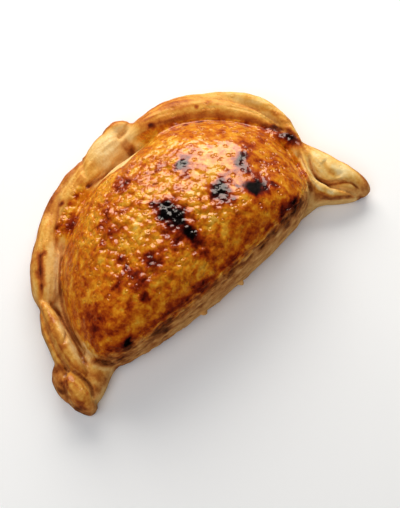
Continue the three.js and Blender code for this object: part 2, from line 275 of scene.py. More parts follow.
# Noise: how strong, the size of its lumps in mm, and its seed.
LUMPS = ((0.3, 9.0, 1), (0.2, 4.2, 2))
BLISTER_GRAIN = ((0.12, 1.7, 4),)
ROLL_GRAIN = ((0.3, 5.5, 10), (0.08, 2.0, 12))
HOLLOWS = ((1.0, 11.0, 8), (0.5, 5.0, 9))
RAGGED_SPOTS = ((0.5, 4.0, 21), (0.25, 1.8, 22))
PATCHES = ((0.11, 12.0, 31), (0.08, 5.0, 32))
FLANK_PATCHES = ((0.05, 6.0, 33),)
RIM_SPOTS = ((0.08, 3.4, 34),)
FOLD_BLOTCHES = ((0.17, 1.8, 35),)
FOLD_BLOTCH_LENGTH = 2.0  # how much longer than wide they are
STREAK = {"long": 9.0, "wide": 1.5, "deep": 1.7}  # size of a streak of the rim
FOLD_WRINKLE = {"long": 3.6, "size": 1.5, "narrow": 2.4}
PIT = {"long": 1.4, "size": 2.6, "patch": 7.0, "limit": 0.3}

# Relief, in mm.
RELIEF = {"bubble": 0.26, "bubble size": 2.6, "wrinkle": 0.55, "pit": 0.7, "streak": 0.24, "film": 0.8,
          "deepest film": 2.0, "hollow below": 0.35, "share of the lumps on the rim": 0.5}
FOOT = (0.2, 2.5)  # heights over which the relief comes in above the tray
UNDERSIDE = {"height": 0.01, "facing": -0.99}  # lower and facing further down than this is underside

# -------------------- the mesh's fineness, in mm

GRAIN = 0.46  # side of a square of the skin
KEPT_SHARE = 0.76  # share of the skin's triangles that are kept where they matter least
BASE_SQUARE = 3.0  # side of a square of the flat underside
BASE_REACH = 90.0  # how far out it is divided
BODY_CUTS, ROLL_CUTS, CRUMB_CUTS = 7, 6, 3  # how often each ball is subdivided before it is shaped
BROAD_CREASE, FINE_CREASE = 30, 24  # how often the skin is smoothed to find its creases


# -------------------- plan geometry, on whole arrays of points

def along(values, t):
    """The value at t, from 0 to 1, of a smooth line through a list of evenly spaced values."""
    values = np.asarray(values, float)
    last = len(values) - 1
    place = np.clip(t, 0, 1) * last
    i = np.minimum(place.astype(int), last - 1)
    f = place - i
    a, b, c, d = (values[np.clip(i + k, 0, last)] for k in (-1, 0, 1, 2))
    bend = 2 * a - 5 * b + 4 * c - d
    twist = 3 * b - a - 3 * c + d
    return 0.5 * (2 * b + (c - a) * f + bend * f**2 + twist * f**3)


def smoothstep(value, low, high):
    """0 up to low and 1 from high on, with a soft step between them."""
    t = np.clip((value - low) / (high - low), 0, 1)
    return t * t * (3 - 2 * t)


def heading(radians):
    """Unit vectors in the plan at these angles."""
    return np.stack((np.cos(radians), np.sin(radians)), axis=-1)


def reach_in_circle(start, direction, circle):
    """How far rays from a point run inside a circle."""
    offset = start - circle["centre"]
    b = direction @ offset
    return -b + np.sqrt(b * b - offset @ offset + circle["radius"] ** 2)


def reach_to_cut(start, direction, cut):
    """How far rays run before a straight cut that lies square to an angle."""
    normal = heading(math.radians(cut["angle"]))
    towards = direction @ normal
    reach = (cut["distance"] - start @ normal) / np.where(np.abs(towards) < 1e-9, 1e-9, towards)
    return np.where(reach > 0, reach, np.inf)


def soft_nearest(*reaches):
    """The nearest of several reaches, with the corners between them rounded."""
    return sum(reach**-CORNER_POWER for reach in reaches) ** (-1 / CORNER_POWER)


def body_reach(direction):
    off = np.degrees(np.arctan2(direction[:, 1], direction[:, 0])) - SWELL["angle"]
    swell = SWELL["reach"] * np.exp(-((off / SWELL["spread"]) ** 4))
    return soft_nearest(
        reach_in_circle(CROWN, direction, RIM_ARC) + swell,
        reach_in_circle(CROWN, direction, FOLD_ARC),
        *(reach_to_cut(CROWN, direction, end) for end in BODY_ENDS),
    )


def seam_reach(direction):
    circle = {"centre": RIM_CENTRE, "radius": SEAM_RADIUS}
    return soft_nearest(
        reach_in_circle(SEAM_CENTRE, direction, circle),
        reach_to_cut(SEAM_CENTRE, direction, SEAM_CUT),
    )


def folded_side(direction):
    """1 in the directions of the folded side, 0 in those of the rim."""
    return smoothstep(-direction[:, 1], *FOLD_SIDE)


def flank(direction):
    """Waist height and the two powers of the body's flank in these directions."""
    fold_side = folded_side(direction)
    waist = VALLEY_HEIGHT + (FOLD_WAIST - VALLEY_HEIGHT) * fold_side
    out, fall = (RIM_FLANK[k] + (FOLD_FLANK[k] - RIM_FLANK[k]) * fold_side for k in ("out", "fall"))
    return waist, out, fall


def unevenness(offset):
    """Low swells of the baked surface."""
    x, y = offset[:, 0], offset[:, 1]
    broad, fine = BROAD_SWELL, FINE_SWELL
    wave = broad["height"] * np.sin(x / broad["x"] + broad["shift"]) * np.cos(y / broad["y"])
    return wave + fine["height"] * np.sin(x / fine["x"] - y / fine["y"])


# -------------------- the forms of the dough

def shaped_ball(bm, cuts, place):
    """A closed ball whose vertices are placed by the angle round it and the share of the way down."""
    verts = bmesh.ops.create_icosphere(bm, subdivisions=cuts, radius=1.0)["verts"]
    unit = np.array([v.co for v in verts])
    angle = np.arctan2(unit[:, 1], unit[:, 0])
    share = np.arccos(np.clip(unit[:, 2], -1, 1)) / math.pi
    for vert, point in zip(verts, place(angle, share).tolist()):
        vert.co = point


def body_place(angle, down):
    """The filled body: a dome down to its widest line, then a flank that turns under."""
    turn = ROWS_ABOVE_WAIST
    direction = heading(angle)
    waist, out, fall = flank(direction)
    above = down < turn
    q = np.where(above, down / turn, (down - turn) / (1 - turn)) * math.pi / 2
    sine, cosine = np.clip(np.sin(q), 0, 1), np.clip(np.cos(q), 0, 1)
    share = np.where(above, sine**out, cosine ** TUCK_POWERS["inward"])
    offset = direction * (body_reach(direction) * share)[:, None]
    dome = waist + (CROWN_HEIGHT - waist) * cosine**fall + unevenness(offset) * cosine
    tuck = waist - (waist + BELOW_TRAY) * sine ** TUCK_POWERS["down"]
    return np.column_stack((CROWN + offset, np.where(above, dome, tuck)))


def seam_place(angle, down):
    """The seam: flat double dough that runs out under the rolls."""
    direction = heading(angle)
    sine = np.sin(down * math.pi)
    reach = seam_reach(direction) * np.minimum(1, SEAM_SPREAD * sine) - SEAM_EDGE * (1 - sine)
    face = np.where(down < 0.5, SEAM_THICKNESS, -BELOW_TRAY)
    z = face * np.abs(np.cos(down * math.pi)) ** SEAM_FLATNESS
    return np.column_stack((SEAM_CENTRE + direction * np.maximum(reach, 0)[:, None], z))


def roll_place(ends, radius, half, top):
    """A roll: a ball drawn out along its line, oval across, with blunt ends."""
    start, end = np.radians(ends)

    def line(t):
        return RIM_CENTRE + heading(start + (end - start) * t) * along(radius, t)[:, None]

    def place(angle, t):
        step = 0.01
        forward = line(np.minimum(t + step, 1)) - line(np.maximum(t - step, 0))
        forward /= np.linalg.norm(forward, axis=1)[:, None]
        across = np.column_stack((forward[:, 1], -forward[:, 0]))
        blunt = np.sqrt(np.maximum(0, 1 - (2 * t - 1) ** ROLL_BLUNTNESS))
        side, up = np.cos(angle), np.sin(angle)
        rise = np.where(up > 0, along(top, t) - ROLL_WAIST, ROLL_WAIST + BELOW_TRAY)
        plan = line(t) + across * (side * along(half, t) * blunt)[:, None]
        return np.column_stack((plan, ROLL_WAIST + up * rise * blunt))

    return place


def crumb_place(centre, radius, seed):
    """A crumb: a small ball pushed out of round."""
    def place(angle, down):
        unit = np.column_stack((heading(angle) * np.sin(down * math.pi)[:, None], np.cos(down * math.pi)))
        rough = CRUMB_ROUGHNESS["share"] * grain(unit, CRUMB_ROUGHNESS["size"], seed)
        return np.array(centre) + unit * (radius * (1 + rough))[:, None]

    return place


# -------------------- noise over the dough

def grain(points, size, seed):
    """Smooth noise from -1 to 1 at each point, with lumps of about this size."""
    scaled = (np.asarray(points) / size + np.array((7.31, 1.73, 3.17)) * seed).tolist()
    return np.array([noise.noise(p) for p in scaled])


def layered(points, layers, onto=0):
    """Layers of noise, each with a strength, a size and a seed, added onto a value."""
    return sum((strength * grain(points, size, seed) for strength, size, seed in layers), onto)


def bubbles(points, size, seed):
    """Round-topped bubbles of about this size: 1 at a bubble's middle, falling to 0 between them."""
    rounded = 0.62  # radius of a bubble, in sizes
    scaled = (np.asarray(points) / size + np.array((5.13, 2.91, 8.77)) * seed).tolist()
    nearest = np.array([noise.voronoi(p)[0][0] for p in scaled])
    return np.clip(1 - (nearest / rounded) ** 2, 0, 1)


# -------------------- from forms to one skin

def raw_dough():
    """Every form of the dough as overlapping closed balls in one mesh, in metres."""
    bm = bmesh.new()
    shaped_ball(bm, BODY_CUTS, body_place)
    shaped_ball(bm, BODY_CUTS, seam_place)
    for roll in ROLLS.values():
        shaped_ball(bm, ROLL_CUTS, roll_place(*roll))
    for seed, (centre, radius) in enumerate(CRUMBS):
        shaped_ball(bm, CRUMB_CUTS, crumb_place(centre, radius, seed))
    bmesh.ops.scale(bm, verts=bm.verts, vec=(MM, MM, MM))
    bmesh.ops.recalc_face_normals(bm, faces=bm.faces)
    return as_mesh(bm, "raw_dough")


def as_mesh(bm, name):
    mesh = bpy.data.meshes.new(name)
    bm.to_mesh(mesh)
    bm.free()
    return mesh


def smooth(bm, times, verts=None):
    for _ in range(times):
        bmesh.ops.smooth_vert(bm, verts=verts or bm.verts, factor=0.5,
                              use_axis_x=True, use_axis_y=True, use_axis_z=True)


def one_skin(mesh):
    """The same dough as one even skin of small squares, in millimetres."""
    bm = modified(mesh, "REMESH", mode="VOXEL", voxel_size=GRAIN * MM)
    bmesh.ops.scale(bm, verts=bm.verts, vec=(1 / MM, 1 / MM, 1 / MM))
    return bm


def put(name, data):
    """A new object in the scene."""
    made = bpy.data.objects.new(name, data)
    bpy.context.scene.collection.objects.link(made)
    return made


def modified(mesh, kind, **settings):
    """The mesh as a modifier leaves it."""
    lump = put("lump", mesh)
    modifier = lump.modifiers.new("modifier", kind)
    for name, value in settings.items():
        setattr(modifier, name, value)
    evaluated = lump.evaluated_get(bpy.context.evaluated_depsgraph_get())
    bm = bmesh.new()
    bm.from_mesh(evaluated.to_mesh())
    bpy.data.objects.remove(lump)
    return bm


def thinned(bm):
    """The skin with the triangles merged that its shape needs least."""
    bmesh.ops.triangulate(bm, faces=bm.faces)
    return modified(as_mesh(bm, "fine_dough"), "DECIMATE", ratio=KEPT_SHARE)


def relax(bm):
    """Softens the creases between the forms, most of all where two broad folds lie on each other."""
    smooth(bm, RELAXED_ALL)
    for area in RELAXED:
        smooth(bm, area["times"], [v for v in bm.verts if in_rim(v.co, area)])


def in_rim(point, area):
    x, y = point.x - RIM_CENTRE[0], point.y - RIM_CENTRE[1]
    start, end = area["deg"]
    near, far = area["radius"]
    return start < math.degrees(math.atan2(y, x)) < end and near < math.hypot(x, y) <= far


def trim_base(bm):
    """Cuts the skin off level with the tray, closes it, and divides the flat face into squares."""
    everything = bm.verts[:] + bm.edges[:] + bm.faces[:]
    bmesh.ops.bisect_plane(bm, geom=everything, plane_co=(0, 0, 0), plane_no=(0, 0, 1), clear_inner=True)
    edge = [e for e in bm.edges if e.is_boundary]
    faces = bmesh.ops.holes_fill(bm, edges=edge, sides=0)["faces"]
    base = faces + list({e for f in faces for e in f.edges}) + list({v for f in faces for v in f.verts})
    for normal in (Vector((1, 0, 0)), Vector((0, 1, 0))):
        for step in np.arange(-BASE_REACH, BASE_REACH, BASE_SQUARE):
            cut = bmesh.ops.bisect_plane(bm, geom=base, plane_co=normal * step, plane_no=normal)
            base = cut["geom"]
    bm.normal_update()


# -------------------- where each point of the skin lies

def survey(place, normal):
    """What each point of the skin belongs to: the body, the rim, the fold or the underside."""
    x, y, z = place.T
    offset = place[:, :2] - CROWN
    distance = np.linalg.norm(offset, axis=1)
    direction = offset / np.maximum(distance, 1e-6)[:, None]
    reach = body_reach(direction)
    share = distance / reach
    waist, out, fall = flank(direction)
    cosine = np.sqrt(1 - np.clip(share, 0, 1) ** (2 / out))
    dome = waist + (CROWN_HEIGHT - waist) * cosine**fall + unevenness(offset) * cosine
    lift = np.clip((z - waist) / (CROWN_HEIGHT - waist), 0, 1) ** (1 / fall)
    share_here = np.sqrt(1 - lift**2) ** out
    gap = np.minimum(np.abs(z - dome), np.abs(share - share_here) * reach)
    gap = np.maximum(gap, (share - 1) * reach)
    turn = np.degrees(np.arctan2(direction[:, 1], direction[:, 0])) % 360
    fold_side = folded_side(direction)
    soft, (near, far) = FOLDED_FLANK["z"], FOLDED_FLANK["y"]
    below_waist = smoothstep(-z, -FOLD_WAIST - soft, -FOLD_WAIST + soft) * smoothstep(-y, -far, -near)
    below_waist *= window(x, *FOLDED_FLANK["x"])
    body = np.maximum(1 - smoothstep(gap, *BODY_SKIN), below_waist)
    rim_offset = place[:, :2] - RIM_CENTRE
    rim_radius = np.linalg.norm(rim_offset, axis=1)
    raised = np.maximum(smoothstep(z, *RIM_FROM["height"]), smoothstep(rim_radius, *RIM_FROM["radius"]))
    ragged = WASH_RAGGED["everywhere"] + WASH_RAGGED["at the fold"] * fold_side
    edge = along(WASH_EDGE + WASH_EDGE[:1], turn / 360)
    edge += ragged * grain(place, WASH_RAGGED["size"], seed=11)
    return {
        "place": place,
        "body": body,
        "share": share,
        "fold_side": fold_side,
        "edge": edge,
        "washed": body * (1 - smoothstep(share, edge - ragged, edge + ragged)),
        "rim": (1 - body) * raised,
        "rim_angle": np.degrees(np.arctan2(rim_offset[:, 1], rim_offset[:, 0])),
        "rim_radius": rim_radius,
        "underside": (z < UNDERSIDE["height"]) & (normal[:, 2] < UNDERSIDE["facing"]),
    }


def window(value, start, end, soft):
    """1 between start and end, fading to 0 over a soft stretch at each."""
    return smoothstep(value, start - soft, start + soft) * (1 - smoothstep(value, end - soft, end + soft))


def full_angle(at):
    """The angle round the rim's centre, which runs past 180 degrees at the left tip."""
    return np.where(at["rim_angle"] < -90, at["rim_angle"] + 360, at["rim_angle"])


def parts_of_rim(at, parts):
    """How far each point belongs to each of these parts of the rim, times the amount of that part."""
    sizes = {"deg": full_angle(at), "radius": at["rim_radius"], "height": at["place"][:, 2]}
    for part in parts:
        yield part["amount"] * math.prod(window(sizes[key], *part[key]) for key in sizes if key in part)


def pale(at):
    """Dough that stayed pale in the shelter of the body."""
    return np.maximum.reduce(list(parts_of_rim(at, PALE)))


def film(at):
    """Where the egg wash ran down between body and rim and baked on as a shining film."""
    return np.maximum.reduce(list(parts_of_rim(at, FILM)))


def under_strand(at):
    """How much painted shade darkens the right tip below the lower edge of its strand."""
    start, end = STRAND_EDGE["deg"]
    edge = along(STRAND_EDGE["radius"], (at["rim_angle"] - start) / (end - start))
    edge += STRAND_EDGE["lean"] * (STRAND_EDGE["height"] - at["place"][:, 2])
    below = 1 - smoothstep(at["rim_radius"] - edge, -STRAND_EDGE["soft"], STRAND_EDGE["soft"])
    return below * sum(parts_of_rim(at, (UNDER_STRAND,)))


def within(at, area):
    """1 in the full part of a round area of the plan, fading to 0 at its edge."""
    distance = np.linalg.norm(at["place"][:, :2] - np.array(area["centre"]), axis=1)
    return 1 - smoothstep(distance, area["full"], area["none"])


def blistered(at):
    """How thickly the beads of glaze stand."""
    beads = mix(BLISTERED["elsewhere"], 1, within(at, BLISTERED))
    beads = at["washed"] * beads * (1 - SMOOTHED["share"] * within(at, SMOOTHED))
    return np.maximum(beads, BLISTERED["film"] * film(at) * (1 - at["body"]))


def fold_band(at):
    """The narrow band along the fold where the egg wash ends in a wrinkled skin."""
    beyond, half = 0.01, 0.05  # in shares of the body's reach
    return at["body"] * at["fold_side"] * np.exp(-(((at["share"] - at["edge"] - beyond) / half) ** 2))


# -------------------- relief of the baked skin

def relief(at, crease):
    """How far the baked skin stands proud of the smooth dough, in mm."""
    place, body, rim = at["place"], at["body"], at["rim"]
    bubbly = layered(place, BLISTER_GRAIN, RELIEF["bubble"] * bubbles(place, RELIEF["bubble size"], seed=3))
    ridged = np.abs(grain(place / np.array((FOLD_WRINKLE["long"], 1, 1)), FOLD_WRINKLE["size"], seed=5))
    wrinkles = np.clip(1 - FOLD_WRINKLE["narrow"] * ridged, 0, 1) ** 2
    raised = layered(place, LUMPS) * mix(RELIEF["share of the lumps on the rim"], 1, body)
    raised += blistered(at) * bubbly
    raised += fold_band(at) * (RELIEF["wrinkle"] * wrinkles - RELIEF["pit"] * fold_pits(at))
    raised += rim * layered(place, ROLL_GRAIN, RELIEF["streak"] * streaks(at, seed=7))
    raised -= furrows(at) * np.maximum(rim, 1 - body)
    raised += RELIEF["film"] * np.clip(crease, 0, RELIEF["deepest film"]) * film(at)
    raised *= smoothstep(place[:, 2], *FOOT)
    return raised


def streaks(at, seed):
    """Streaks that run along the rim, from -1 to 1."""
    around = np.radians(at["rim_angle"]) * at["rim_radius"] / STREAK["long"]
    across, up = at["rim_radius"] / STREAK["wide"], at["place"][:, 2] / STREAK["deep"]
    return grain(np.column_stack((around, across, up)), 1.0, seed)


def fold_pits(at):
    """Small pits where the skin over the fold blistered and broke, in patches of it."""
    pits = bubbles(at["place"] / np.array((PIT["long"], 1, 1)), PIT["size"], seed=6) ** 2
    return pits * grain(at["place"], PIT["patch"], seed=13).clip(0, PIT["limit"]) / PIT["limit"]


def furrows(at):
    """How deep the furrows of the rim are cut, in mm."""
    angle, radius = full_angle(at), at["rim_radius"]
    depth = np.zeros(len(radius))
    for (start, end), radii, deep, half in FURROWS.values():
        t = (angle - start) / (end - start)
        step = 0.02
        slope = (along(radii, t + step) - along(radii, t - step)) / (2 * step)
        slope /= np.radians(abs(end - start)) * radius
        gap = np.abs(radius - along(radii, t)) / np.sqrt(1 + slope**2)
        fade = smoothstep(t, 0, FURROW_FADE) * (1 - smoothstep(t, 1 - FURROW_FADE, 1))
        depth = np.maximum(depth, deep * fade * np.exp(-((gap / half) ** 2)))
    return depth


def emboss(bm):
    """Pushes the relief into the skin and hollows the underside a little between its high spots."""
    place, normal = arrays(bm)
    at = survey(place, normal)
    moved = place + normal * relief(at, creases(bm, BROAD_CREASE))[:, None]
    moved[:, 2] = np.maximum(moved[:, 2], 0)
    hollows = np.clip(layered(place, HOLLOWS), 0, 1)
    soft = HOLLOWS_FROM["soft"]
    inside = smoothstep(soft - outside_hollows(place), 0, soft)
    moved[at["underside"], 2] = (RELIEF["hollow below"] * hollows * inside)[at["underside"]]
    for vert, point in zip(bm.verts, moved.tolist()):
        vert.co = point


def outside_hollows(place):
    """How far a point lies outside the part of the underside that may be hollow."""
    rim = np.linalg.norm(place[:, :2] - RIM_CENTRE, axis=1) - (SEAM_RADIUS - HOLLOWS_FROM["rim"])
    return np.maximum(rim, HOLLOWS_FROM["fold"] - place[:, 1])


def arrays(bm):
    place = np.array([v.co for v in bm.verts])
    normal = np.array([v.normal for v in bm.verts])
    return place, normal


def creases(bm, times):
    """How deep each point lies below the skin smoothed round it, in mm: above 0 in a crease."""
    place, normal = arrays(bm)
    soft = bm.copy()
    smooth(soft, times)
    sunk = np.einsum("ij,ij->i", arrays(soft)[0] - place, normal)
    soft.free()
    return sunk


# -------------------- how brown each point baked, and the shade and light painted on it

def scorches_and_shade(place):
    """The scorched spots and two painted shade spots on the rim: solid in the middle, with a ragged edge.
    """
    plan = place[:, :2]
    ragged = layered(place, RAGGED_SPOTS)
    total = {kind: np.zeros(len(place)) for kind in SCORCHES_AND_SHADE}
    for kind, spots in SCORCHES_AND_SHADE.items():
        for x, y, length, width, turn, dark in spots:
            long_way = heading(math.radians(turn))
            short_way = heading(math.radians(turn + 90))
            offset = plan - np.array((x, y))
            distance = np.hypot(offset @ long_way / length, offset @ short_way / width)
            total[kind] += dark * (1 - smoothstep(distance + ragged, *SPOT_EDGE))
    total["patch"] = np.minimum(total["patch"], PATCH_LIMIT)
    return sum(total.values())


def bake_and_shading(at, crease):
    """How brown each point is, from 0 for raw dough to 1 for char, with painted shade and painted light
    added.
    """
    place, body, washed = at["place"], at["body"], at["washed"]
    patches, spots = layered(place, PATCHES), layered(place, RIM_SPOTS)
    sunk, proud = np.clip(crease / SUNK_FULL, 0, 1), np.clip(-crease / SUNK_FULL, 0, 1)
    level = layered(place, FLANK_PATCHES, BAKED["bare flank"])
    level = mix(level, fold_bake_and_shade(at), body * at["fold_side"] * (1 - washed))
    level = mix(level, dome_bake(at) + patches, washed)
    rolls = rim_bake_and_shading(at, sunk, proud) + BROWNING_AND_PAINTED_SHADING["patches on the rim"] * patches + spots
    level = mix(level, rolls, at["rim"])
    # The film's own colour is baked glaze; the darkening where it lies sunk in its crease is painted shade.
    pool = BAKED["film"] + BROWNING_AND_PAINTED_SHADING["sunk in the film"] * sunk
    pool += BROWNING_AND_PAINTED_SHADING["patches in the film"] * patches + BROWNING_AND_PAINTED_SHADING["spots in the film"] * spots
    level = mix(level, pool, film(at))
    # Painted shade where the sheltered dough is sunk, and painted light where it is raised.
    sheltered = BAKED["bare flank"] + BROWNING_AND_PAINTED_SHADING["sunk in shelter"] * sunk
    sheltered += BROWNING_AND_PAINTED_SHADING["raised in shelter"] * smoothstep(place[:, 2], *SHELTER["raised"])
    level = mix(level, sheltered, SHELTER["share"] * pale(at) * (1 - washed))
    # Painted shade in the furrows of the rim: the deeper a furrow, the darker it is coloured.
    level += BROWNING_AND_PAINTED_SHADING["furrows"] * np.minimum(furrows(at), DEEPEST_SHADE) ** 2 * (1 - washed)
    level = np.minimum(level, DARKEST["crust"]) + scorches_and_shade(place)
    level[at["underside"]] = (BAKED["underside"] + BROWNING_AND_PAINTED_SHADING["patches below"] * patches)[at["underside"]]
    return np.clip(level, 0, DARKEST["char"])


def fold_bake_and_shade(at):
    """The bare skin on the folded side: its bake, with painted shade in its pits."""
    place, band = at["place"], fold_band(at)
    blotches = layered(place / np.array((FOLD_BLOTCH_LENGTH, 1, 1)), FOLD_BLOTCHES)
    level = BAKED["fold"] + blotches + BROWNING_AND_PAINTED_SHADING["band at the fold"] * band
    # Painted shade in the pits of the fold band.
    level += BROWNING_AND_PAINTED_SHADING["its pits"] * fold_pits(at) * band
    low, high = FOLD_ROUND
    return level + BROWNING_AND_PAINTED_SHADING["below the fold"] * smoothstep(-place[:, 2], -high, -low)


def dome_bake(at):
    """The bake of the egg-washed dome."""
    x, y = at["place"][:, 0], at["place"][:, 1]
    by_roll, (near, far) = WASHED_ENDS["top roll"], WASHED_ENDS["fold"]
    level = BROWNING_AND_PAINTED_SHADING["end by the top roll"] * smoothstep(y, *by_roll["y"]) * smoothstep(x, *by_roll["x"])
    level += BAKED["washed"] + BROWNING_AND_PAINTED_SHADING["end by the fold"] * smoothstep(-y, -far, -near)
    return level + BROWNING_AND_PAINTED_SHADING["smoothed"] * within(at, SMOOTHED) + BROWNING_AND_PAINTED_SHADING["blistered"] * within(at, BLISTERED)


def rim_bake_and_shading(at, sunk, proud):
    """The rim's level of brown, more on its ridges than its sides, with painted shade in its creases."""
    # Ridges that stand proud baked browner; where the rim is sunk in a crease the darker colour is painted
    # shade.
    level = BAKED["rim"] + BROWNING_AND_PAINTED_SHADING["proud on the rim"] * proud + BROWNING_AND_PAINTED_SHADING["sunk in the rim"] * sunk
    # under_strand adds painted shade below the side strand.
    level += BROWNING_AND_PAINTED_SHADING["streaks"] * streaks(at, seed=36) + under_strand(at)
    return sum(parts_of_rim(at, RIM_BROWNING_AND_PAINTED_SHADING), level)


def wash(at, crease):
    """How much egg wash lies on each point: all of the dome, and the tops of the rolls."""
    sunk = np.clip(crease / RIM_WASH["sunk"], 0, 1)
    tops = smoothstep(at["place"][:, 2], *RIM_WASH["height"])
    tops = RIM_WASH["share"] * tops * (1 - sunk) * (1 - pale(at))
    rim = np.maximum(at["rim"] * tops, film(at))
    return np.clip(at["washed"] + rim, 0, 1)


def gloss(at):
    """How much of the egg wash still shines: on the dome all but one burnt spot, on the rim a little."""
    sheen = sum(parts_of_rim(at, (TIP_SHINE,)), RIM_SHINE["everywhere"])
    rim = np.maximum(sheen * at["rim"], RIM_SHINE["film"] * film(at) * (1 - at["body"]))
    return np.clip(at["washed"] * (1 - within(at, BURNT_DRY)) + rim, 0, 1)


def mix(a, b, share):
    return a + (b - a) * share


# -------------------- materials

def linear(colour):
    """An sRGB hex colour as linear RGBA."""
    parts = (int(colour[i : i + 2], 16) / 255 for i in (1, 3, 5))
    return (*(c / 12.92 if c <= 0.04045 else ((c + 0.055) / 1.055) ** 2.4 for c in parts), 1.0)


def node(tree, kind, inputs=None, stops=None, **settings):
    """Adds a node with its settings, colour stops, and inputs: values, or nodes or sockets to link."""
    made = tree.nodes.new("ShaderNode" + kind)
    for name, value in settings.items():
        setattr(made, name, value)
    for name, value in (inputs or {}).items():
        if isinstance(value, bpy.types.Node):
            value = value.outputs[0]
        if isinstance(value, bpy.types.NodeSocket):
            tree.links.new(value, made.inputs[name])
        else:
            made.inputs[name].default_value = value
    if stops:
        ramp = made.color_ramp.elements
        while len(ramp) < len(stops):
            ramp.new(0.5)
        for element, (position, colour) in zip(ramp, stops):
            element.position, element.color = position, linear(colour)
    return made


# Colour of the dough as it bakes, bare and under egg wash.
BARE_STOPS = ((0.0, "#eed29a"), (0.16, "#e1b36c"), (0.3, "#cf9450"), (0.45, "#b06c34"), (0.6, "#84481f"),
              (0.75, "#542810"), (1.0, "#120606"))
WASHED_STOPS = ((0.0, "#f3d795"), (0.15, "#edbf62"), (0.28, "#e4a634"), (0.4, "#d78619"), (0.5, "#c2630f"),
                (0.6, "#a6420a"), (0.7, "#812407"), (0.82, "#500f07"), (0.93, "#1c0707"), (1.0, "#090505"))


# Noise in the crust: the size of its lumps in mm, and its other settings.
CRUST_NOISE = {
    "mottle": (3.6, {"Detail": 5.0, "Roughness": 0.6, "Distortion": 0.2}),
    "specks": (1.0, {"Detail": 2.0}),
    "ripples": (1.7, {"Detail": 1.0}),
    "pores": (0.8, {"Detail": 3.0}),
    "wrinkles": (2.4, {"Detail": 2.0, "Distortion": 0.3}),
}
WRINKLE_LENGTH = 0.22  # how much slower the wrinkles change along the fold than across it
# The wrinkles' rows, the painted light on their ridges (below 0, paler), and their height.
WRINKLE = {"rows": 5.0, "painted_ridge_light": -0.24, "height": 0.5}
BEAD = {"size": 2.7, "height": 1.15, "ripples": 0.35}
RING = {"size": 3.0, "radius": 0.28, "width": 0.14, "height": 0.22, "whole": 0.4}  # left by burst beads
PORES = {"bare": 0.2, "washed": 0.02}


